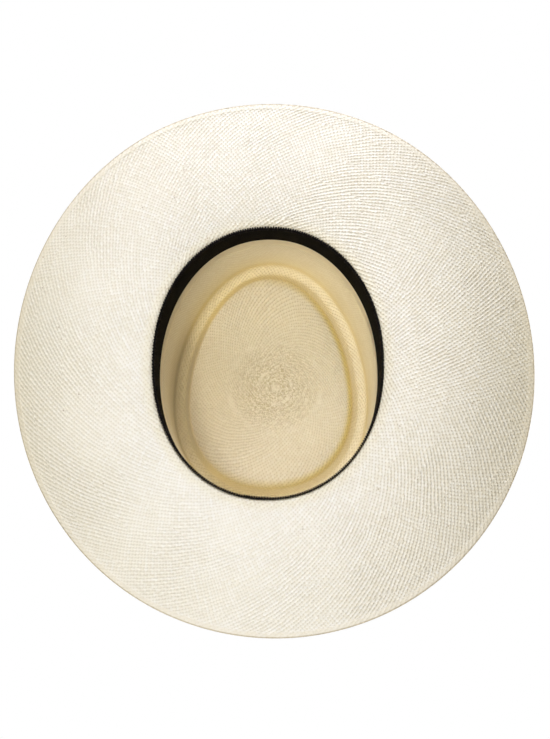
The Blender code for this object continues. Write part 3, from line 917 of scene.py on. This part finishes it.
# Strands, and the differences between them.
STRANDS = (colour(0.935, 0.906, 0.828), colour(0.902, 0.862, 0.755))
SHALLOW_SEED = 900.0
MOTTLE = ((28.0, 4.0, 0.6), (0.35, 0.70, 0.0, 0.16))
MOTTLED = colour(0.875, 0.850, 0.795)
GRAIN_SHARE = (0.0, 1.0, 0.0, 0.55)
GRAIN_BY_OPENNESS = (0.2, 1.0, 0.35, 1.0)
GRAIN = colour(0.90, 0.87, 0.80)
FLECKED_CROSSINGS = 0.9985  # one crossing in about 700 has a brown speck
FLECK_SHARE = (0.45, 0.95, 0.0, 0.7)
FLECK = colour(0.40, 0.29, 0.17)
# The first rounds of weaving, in the middle of the top.
NEAR_ROSETTE = (ROSETTE, (0.012, 0.050, 1.0, 0.0))
ROSETTE_ROUND = 0.0036
ROUNDS_NOISE = (430.0, 3.0, 0.7)
ROUNDS_REACH = 22.0
ROUNDS_SHARE = (-0.4, 0.9)
ROUNDS = colour(0.57, 0.51, 0.39)
PALE_ROUNDS = ((0.0, 0.0050), (0.0135, 0.0022), (0.0370, 0.0028))  # radius and width
PALE_CORE = 0.3  # share of a round's width that is fully pale
PALE_BREAKS = ((70.0, 3.0, 0.6), (0.42, 0.60, 0.0, 0.55))
PALE = colour(0.97, 0.94, 0.87)
# Painted light and shade by place: a painted glow inside behind the hatband; painted shade at the rim,
# the brim's sides, inside the crown, on its right side inside and in the folds.
HATBAND_TOP = BREAK_Z + HATBAND_RISE + HATBAND_HEIGHT
# Painted glow on the straw inside below the hatband's top, in place of the light that comes through the
# straw.
UNDER_BAND_GLOW = (HATBAND_TOP - 0.001, HATBAND_TOP + 0.003, 1.0, 0.0)
UNDER_BAND_GLOW_COLOUR = colour(1.00, 0.93, 0.76)
HEM_SHARE = (0.0, 1.0, 0.0, 0.8)
HEM = colour(0.96, 0.94, 0.90)
# Painted shade along the rim, where it turns away from the light.
RIM_SHADE_SHARE = (1.0, EDGE_SHADE)
RIM_SHADE = colour(0.70, 0.65, 0.56)
# Painted shade at the brim's left and right sides.
BRIM_SIDE_SHADE = colour(0.81, 0.785, 0.70)
# Painted shade and warm bounce light inside the crown.
INSIDE_SHADE = colour(0.905, 0.882, 0.815)
NEAR_RIGHT_INSIDE_SHADE = ((-0.072, 0.012, CREST_Z), (0.025, 0.075, 1.0, 0.0))  # painted shade on the crown's right side, inside, where the hem keeps the light off
RIGHT_INSIDE_SHADE = colour(0.85, 0.81, 0.74)
FOLD_SHADE_ABOVE = (0.0, 1.0, 1.0, 0.35)  # the painted fold shade shows less on the outer face
# Painted shade in the folds, golden like light that has bounced in them.
FOLD_SHADE = colour(0.80, 0.68, 0.24)
FOLD_SHADE_AND_RIGHT_INSIDE_SHADE = colour(0.24, 0.16, 0.11)
# Relief, gloss, and the light that comes through.
RELIEF_BY_OPENNESS = (0.0, 1.0, 0.35, 1.15)
ROSETTE_BUMPS = (420.0, 2.0)
ROSETTE_RELIEF = 2.0
STRAW_BUMP = (0.85, 0.00055)
STRAW_ROUGHNESS = 0.55
STRAW_GLOSS = 0.35
BRIM_GLOW = colour(0.95, 0.89, 0.74)
CROWN_GLOWS = (colour(0.93, 0.78, 0.48), colour(0.96, 0.92, 0.82))  # inner and outer face
CROWN_FROM = (BREAK_Z, BREAK_Z + 4 * BREAK_RADIUS)
THIN_BRIM = (0.0, 1.0, 0.15, 0.30)
THIN_CROWN = 0.20
THIN_CROWN_ABOVE = 0.12


def plain_weave(graph, first, second, lead):
    """Height of two strand families that pass over and under each other, and where the first is on top.

    lead lifts the first family above the second, which makes its strands read as unbroken lines.
    """
    waves = (graph.wave(first), graph.wave(second))
    over = graph.times(graph.times(*waves), OVER_SHARPNESS)
    over = graph.math("MINIMUM", graph.math("MAXIMUM", over, -1.0), 1.0)
    lift = graph.times(over, STRAND_WAVINESS)
    sizes = [graph.size(wave) for wave in waves]
    heights = []
    for size, other, way in zip(sizes, sizes[::-1], ("ADD", "SUBTRACT")):
        height = graph.math(way, graph.math("POWER", size, STRAND_ROUNDNESS), graph.times(lift, other))
        heights.append(graph.math(way, height, graph.times(lead, size)))
    return graph.math("SMOOTH_MAX", *heights, STRAND_MELD), graph.math("GREATER_THAN", *heights)


def strand_chance(graph, coordinate, seed):
    """A random value for each strand."""
    number = graph.plus(graph.math("FLOOR", coordinate), seed)
    return graph.add("TexWhiteNoise", {1: number}, noise_dimensions="1D")


def crossing_chance(graph, first, second):
    """A random value for each crossing of two strands; the other order gives other values."""
    cell = graph.add("CombineXYZ", {0: graph.math("FLOOR", first), 1: graph.math("FLOOR", second)})
    return graph.add("TexWhiteNoise", {0: cell}, noise_dimensions="2D")


def fleck(graph, steep, shallow):
    """Here and there one crossing of two strands has a brown speck."""
    chosen = graph.math("GREATER_THAN", crossing_chance(graph, steep, shallow), FLECKED_CROSSINGS)
    middle = graph.size(graph.times(graph.wave(steep), graph.wave(shallow)))
    return graph.times(chosen, graph.ramp(middle, *FLECK_SHARE))


def pale_arcs(graph):
    """Broken paler rounds about the middle of the top."""
    distance = graph.distance_to(ROSETTE)
    arcs = 0.0
    for radius, width in PALE_ROUNDS:
        off = graph.size(graph.minus(distance, radius))
        arcs = graph.math("MAXIMUM", arcs, graph.ramp(off, PALE_CORE * width, width, 1.0, 0.0))
    return graph.times(arcs, graph.patches(*PALE_BREAKS))


def weave_openness(graph, z, inside, edge, outer, near_rosette):
    toward = graph.add("VectorMath", {0: graph.place(), 1: GAP_SHADE_SIDE}, "Value", operation="DOT_PRODUCT")
    openness = graph.ramp(toward, *GAP_SHADE_BY_SIDE)
    for share, least in ((inside, OPEN_INSIDE), (outer, OPEN_ABOVE), (near_rosette, OPEN_BY_ROSETTE),
                         (inside, graph.ramp(z, *OPEN_LOW_WALL))):
        openness = graph.math("MAXIMUM", openness, graph.times(share, least))
    openness = graph.shifted(openness, graph.noise(*OPEN_NOISE), OPEN_REACH)
    return graph.times(openness, graph.ramp(edge, *OPEN_HEM))


def make_straw_material():
    graph = new_material("straw")
    steep, shallow = graph.weave_map()
    inside, edge, outer, side = [graph.stored(name) for name in ("inside", "edge", "outer", "side")]
    # crease: painted shade in the folds
    crease = graph.times(graph.stored("crease"), graph.ramp(outer, *FOLD_SHADE_ABOVE))
    near_rosette = graph.near(*NEAR_ROSETTE)
    z = graph.axis(graph.place(), 2)
    crown = graph.ramp(z, *CROWN_FROM)

    wander = graph.noise(*WANDER_NOISE, output=1)
    reach = graph.ramp(near_rosette, *WANDER_REACH)
    steep = graph.shifted(steep, graph.axis(wander, 0), reach)
    shallow = graph.shifted(shallow, graph.axis(wander, 1), reach)
    lead = graph.minus(graph.patches(*STEEP_LEADS), graph.near(*SHALLOW_LEADS))
    height, steep_on_top = plain_weave(graph, steep, shallow, lead)
    openness = weave_openness(graph, z, inside, edge, outer, near_rosette)

    steep_tone = graph.times(strand_chance(graph, steep, 0.0), steep_on_top)
    shallow_tone = graph.times(strand_chance(graph, shallow, SHALLOW_SEED),
                               graph.minus(1.0, steep_on_top))
    surface = graph.blend(graph.plus(steep_tone, shallow_tone), *STRANDS)
    grain = graph.times(graph.ramp(crossing_chance(graph, shallow, steep), *GRAIN_SHARE),
                        graph.ramp(openness, *GRAIN_BY_OPENNESS))
    rounds = graph.times(graph.distance_to(ROSETTE), 2 * pi / ROSETTE_ROUND)
    rounds = graph.math("SINE", graph.shifted(rounds, graph.noise(*ROUNDS_NOISE), ROUNDS_REACH))
    # painted shade on the crown's right side, inside
    right_inside_shade = graph.times(graph.near(*NEAR_RIGHT_INSIDE_SHADE), inside)
    layers = (
        ("MIX", MOTTLED, graph.patches(*MOTTLE)),
        # painted shade in the weave's gaps
        ("MIX", GAP_SHADE_COLOUR, graph.times(graph.ramp(height, *GAP_HEIGHT), openness)),
        ("MULTIPLY", GRAIN, grain),
        ("MULTIPLY", ROUNDS, graph.times(graph.ramp(rounds, *ROUNDS_SHARE), near_rosette)),
        ("MIX", PALE, graph.times(pale_arcs(graph), inside)),
        # painted glow inside behind the hatband
        ("MIX", UNDER_BAND_GLOW_COLOUR, graph.times(graph.ramp(z, *UNDER_BAND_GLOW), inside)),
        ("MIX", FLECK, fleck(graph, steep, shallow)),
        ("MULTIPLY", HEM, graph.ramp(edge, *HEM_SHARE)),
        # painted shade along the rim
        ("MULTIPLY", RIM_SHADE, graph.ramp(edge, *RIM_SHADE_SHARE)),
        # painted shade at the brim's sides
        ("MULTIPLY", BRIM_SIDE_SHADE, side),
        # painted shade and warm bounce light inside the crown
        ("MULTIPLY", INSIDE_SHADE, inside),
        # painted shade on the crown's right side, inside
        ("MULTIPLY", RIGHT_INSIDE_SHADE, right_inside_shade),
        # painted shade in the folds
        ("MULTIPLY", FOLD_SHADE, crease),
        # painted shade in the folds, deeper on the crown's right side inside
        ("MULTIPLY", FOLD_SHADE_AND_RIGHT_INSIDE_SHADE, graph.times(crease, right_inside_shade)),
    )
    for way, tint, share in layers:
        surface = graph.blend(share, surface, tint, way)

    relief = graph.times(height, graph.ramp(openness, *RELIEF_BY_OPENNESS))
    bumps = graph.times(graph.noise(*ROSETTE_BUMPS), near_rosette)
    bump = graph.bump(*STRAW_BUMP, graph.plus(relief, graph.times(bumps, ROSETTE_RELIEF)))
    straw = graph.coat(surface, STRAW_ROUGHNESS, STRAW_GLOSS, bump)
    glow = graph.blend(crown, BRIM_GLOW, graph.blend(outer, *CROWN_GLOWS))
    through = graph.add("BsdfTranslucent", {"Color": glow, "Normal": bump})
    thin_crown = graph.plus(graph.times(outer, THIN_CROWN_ABOVE), THIN_CROWN)
    thin = graph.plus(graph.ramp(outer, *THIN_BRIM), graph.times(crown, thin_crown))
    return graph.finish(graph.add("MixShader", {0: thin, 1: straw, 2: through}))


# ---- The looks of the bands and the thread ----
CLOTH_WANDER_NOISE = (160.0, 2.0)
CLOTH_WANDER = 0.0004
RIB_ROUNDNESS = 0.6
YARN_WIDTH = 0.42  # as a share of a rib's width
YARN_RELIEF = 0.35
CLOTH_FUZZ = (900.0, 3.0, 0.7)
CLOTH_FUZZ_RELIEF = 0.5
# Rib tops lighter and the valleys between them darker: painted shade.
RIB_SHADE_HEIGHTS = (0.5, 1.7)
WEAR = ((35.0, 3.0), (0.45, 0.75, 0.0, 0.35))
CLOTH_BUMP = 0.7
PLY_PACE = 9000.0  # turns the thread's plies round as it goes along
THREAD_FUZZ = (1500.0, 2.0)
# Ply tops lighter and the hollows between plies darker: painted shade.
PLY_SHADE_HEIGHTS = (-0.5, 1.5)
PLY_SHADE_TONES = (colour(0.004, 0.003, 0.003), colour(0.012, 0.010, 0.010))
THREAD_BUMP = (0.6, 0.00008)
THREAD_ROUGHNESS = 0.7
THREAD_GLOSS = 0.10


def make_cloth_material(name, tones, rib, rib_depth, roughness, gloss, twill=False):
    """Black ribbon with ribs across its length, or a twill with slanted ribs."""
    graph = new_material(name)
    along, across = graph.weave_map()
    wander = graph.times(graph.noise(*CLOTH_WANDER_NOISE), CLOTH_WANDER)
    slanted = graph.plus(along, across) if twill else along
    ribs = graph.size(graph.wave(graph.plus(slanted, wander), pi / rib))
    yarns = graph.size(graph.wave(across, pi / (YARN_WIDTH * rib)))
    height = graph.plus(graph.math("POWER", ribs, RIB_ROUNDNESS), graph.times(yarns, YARN_RELIEF))
    height = graph.plus(height, graph.times(graph.noise(*CLOTH_FUZZ), CLOTH_FUZZ_RELIEF))
    # painted shade: lighter on the rib tops, darker in the valleys
    tone = graph.blend(graph.ramp(height, *RIB_SHADE_HEIGHTS), *tones)
    tone = graph.blend(graph.patches(*WEAR), tone, tones[1])
    return graph.finish(graph.coat(tone, roughness, gloss, graph.bump(CLOTH_BUMP, rib_depth, height)))


def make_thread_material():
    graph = new_material("thread")
    along, spin = graph.weave_map()
    ply = graph.math("SINE", graph.plus(graph.times(along, PLY_PACE), graph.times(spin, 2 * pi)))
    height = graph.plus(ply, graph.noise(*THREAD_FUZZ))
    # painted shade: lighter on the ply tops, darker between them
    tone = graph.blend(graph.ramp(height, *PLY_SHADE_HEIGHTS), *PLY_SHADE_TONES)
    bump = graph.bump(*THREAD_BUMP, height)
    return graph.finish(graph.coat(tone, THREAD_ROUGHNESS, THREAD_GLOSS, bump))


# ---- Camera, floor and light ----
CAMERA_AIM = Vector((0.0023, 0.0020, BREAK_Z))
CAMERA_DISTANCE = 1.1
CAMERA_SLIP_X = radians(2.49)  # how far the camera stands off straight below, sideways and to the back
CAMERA_SLIP_Y = radians(7.17)
CAMERA_ROLL = radians(-0.11)
LENS = 73.2
SENSOR = 36.0
FLOOR_REACH = 6.0
FLOOR_GREY = colour(0.24, 0.24, 0.238)
FLOOR_GLOW = (0.25, 2.2, 0.48, 1.0)  # grows with the distance from the hat
WORLD_SEEN = 1.0  # behind the hat, as the camera sees it
WORLD_ABOVE = 0.40
WORLD_BELOW = 0.02
HORIZON = 0.1
LAMPS = (  # name, place, side, power and tint
    ("axis_box", (-0.27, 0.15, -1.20), 0.25, 7.6, (1.0, 0.985, 0.94)),
    ("front_box", (0.0, -0.6, -0.45), 0.4, 4.6, (0.97, 1.0, 1.17)),
    ("back_far_box", (-0.1, 0.7, -1.1), 0.5, 5.6, (1.0, 0.99, 0.95)),
    ("right_top_box", (-1.1, 0.0, 0.5), 0.8, 7.0, (1.0, 1.0, 1.0)),
    ("left_top_box", (1.1, 0.0, 0.5), 0.8, 15.0, (1.0, 1.0, 1.0)),
    ("front_top_box", (0.3, -1.1, 0.6), 0.8, 14.0, (1.0, 1.0, 1.0)),
    ("back_top_box", (-0.3, 1.1, 0.6), 0.8, 10.0, (1.0, 1.0, 1.0)),
)


def make_camera():
    away = Vector((tan(CAMERA_SLIP_X), tan(CAMERA_SLIP_Y), -1.0)).normalized()
    forward = -away
    up = Vector((0.0, -1.0, 0.0))
    up = (up - forward * forward.dot(up)).normalized()
    right = forward.cross(up)
    rolled_up = up * cos(CAMERA_ROLL) + right * sin(CAMERA_ROLL)
    rolled_right = right * cos(CAMERA_ROLL) - up * sin(CAMERA_ROLL)
    data = bpy.data.cameras.new("camera")
    data.lens = LENS
    data.sensor_width = SENSOR
    camera = new_object("camera", data)
    turn = Matrix((rolled_right, rolled_up, -forward)).transposed()
    camera.matrix_world = Matrix.Translation(CAMERA_AIM + away * CAMERA_DISTANCE) @ turn.to_4x4()
    bpy.context.scene.camera = camera


def make_floor():
    """A pale floor that only shows from above, and doesn't shade the hat from the light below."""
    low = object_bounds()[0].z - GAP
    corners = np.array([(-1, -1), (1, -1), (1, 1), (-1, 1)]) * FLOOR_REACH
    graph = new_material("floor")
    cover = graph.add("BsdfDiffuse", {"Color": FLOOR_GREY})
    glow = graph.add("Emission", {"Color": WHITE, "Strength": graph.near((0.0, 0.0, low), FLOOR_GLOW)})
    pale = graph.add("AddShader", {0: cover, 1: glow})
    clear = graph.add("BsdfTransparent", {"Color": WHITE})
    below = graph.add("NewGeometry", {}, "Backfacing")
    shader = graph.add("MixShader", {0: below, 1: pale, 2: clear})
    floor = make_piece("floor", ring(*corners.T, low), [(0, 1, 2, 3)], graph.finish(shader))
    floor.visible_shadow = False
    floor.visible_diffuse = False
    floor.visible_glossy = False
    floor.visible_transmission = False


def make_world():
    """What the camera sees behind the hat, and the soft light from above and from below."""
    graph = Graph(bpy.data.worlds.new("studio"))
    height = graph.axis(graph.add("TexCoord", {}, "Generated"), 2)
    soft = graph.add("MapRange", {0: height, 1: -HORIZON, 2: HORIZON, 3: WORLD_BELOW, 4: WORLD_ABOVE})
    by_camera = graph.add("LightPath", {}, "Is Camera Ray")
    strength = graph.add("Mix", {0: by_camera, 2: soft, 3: WORLD_SEEN})
    shader = graph.add("Background", {"Color": WHITE, "Strength": strength})
    graph.add("OutputWorld", {0: shader})
    bpy.context.scene.world = graph.owner


def make_lamp(name, place, side, power, tint):
    """A softbox that faces the middle of the hat."""
    data = bpy.data.lights.new(name, "AREA")
    data.size = side
    data.energy = power
    data.color = tint
    lamp = new_object(name, data)
    lamp.location = place
    aim = Vector((0.0, 0.0, BREAK_Z)) - lamp.location
    lamp.rotation_mode = "QUATERNION"
    lamp.rotation_quaternion = aim.to_track_quat("-Z", "Y")
    lamp.visible_camera = False


make_camera()
make_floor()
make_world()
for lamp_values in LAMPS:
    make_lamp(*lamp_values)
bpy.context.scene.view_settings.view_transform = "Standard"
make_straw(make_straw_material())
sweatband_material = make_cloth_material(
    "sweatband_cloth", (colour(0.0010, 0.0006, 0.0005), colour(0.0032, 0.0022, 0.0020)),
    rib=0.0009, rib_depth=0.00008, roughness=0.75, gloss=0.03, twill=True)
ribbon_material = make_cloth_material(
    "ribbon", (colour(0.0020, 0.0018, 0.0020), colour(0.010, 0.009, 0.010)),
    rib=0.0011, rib_depth=0.00016, roughness=0.46, gloss=0.22)
thread_material = make_thread_material()
make_sweatband(sweatband_material)
for make_ribbon_piece in (make_hatband, make_bow_loops, make_bow_tail, make_bow_knot):
    make_ribbon_piece(ribbon_material)
for make_thread_piece in (make_overcast, make_lap_seam, make_tacks):
    make_thread_piece(thread_material)
